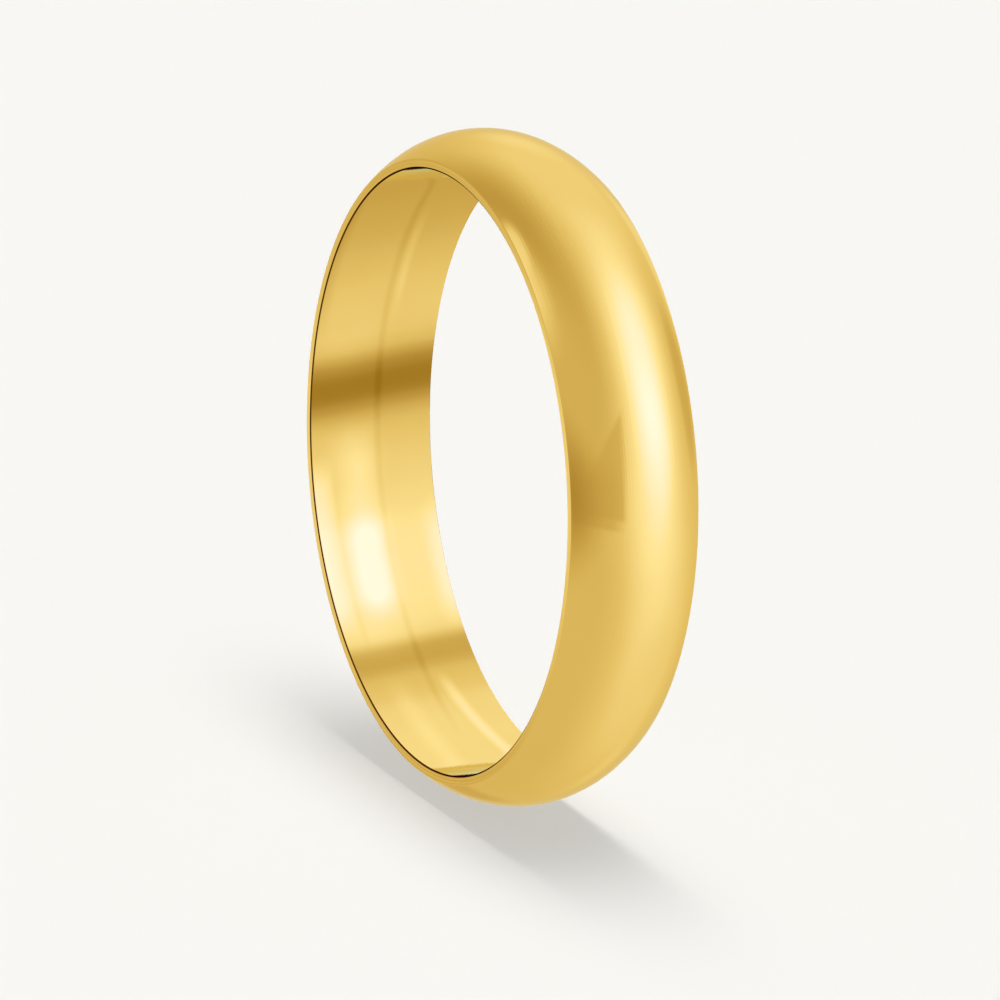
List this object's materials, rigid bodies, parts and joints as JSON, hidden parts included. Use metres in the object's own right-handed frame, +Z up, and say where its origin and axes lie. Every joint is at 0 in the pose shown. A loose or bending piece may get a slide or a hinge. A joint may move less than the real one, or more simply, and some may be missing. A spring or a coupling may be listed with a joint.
{
  "type": "wedding band",
  "caption": "Plain polished yellow-gold wedding band with a domed outside, a straight inner sleeve and narrow soldered rims.",
  "frame": {"origin": "centre of the finger hole, halfway between the two rims", "axes": "+Y along the band's axis, +Z up with the band standing on its edge, X across the band"},
  "size_m": [0.0198, 0.004, 0.0198],
  "materials": {
    "gold_shell": "polished",
    "gold_sleeve": "polished",
    "gold_solder": "polished"
  },
  "bodies": {
    "root": {"outer_shell": "gold_shell", "inner_sleeve": "gold_sleeve", "rim_solder_front": "gold_solder", "rim_solder_back": "gold_solder"}
  },
  "joints": []
}
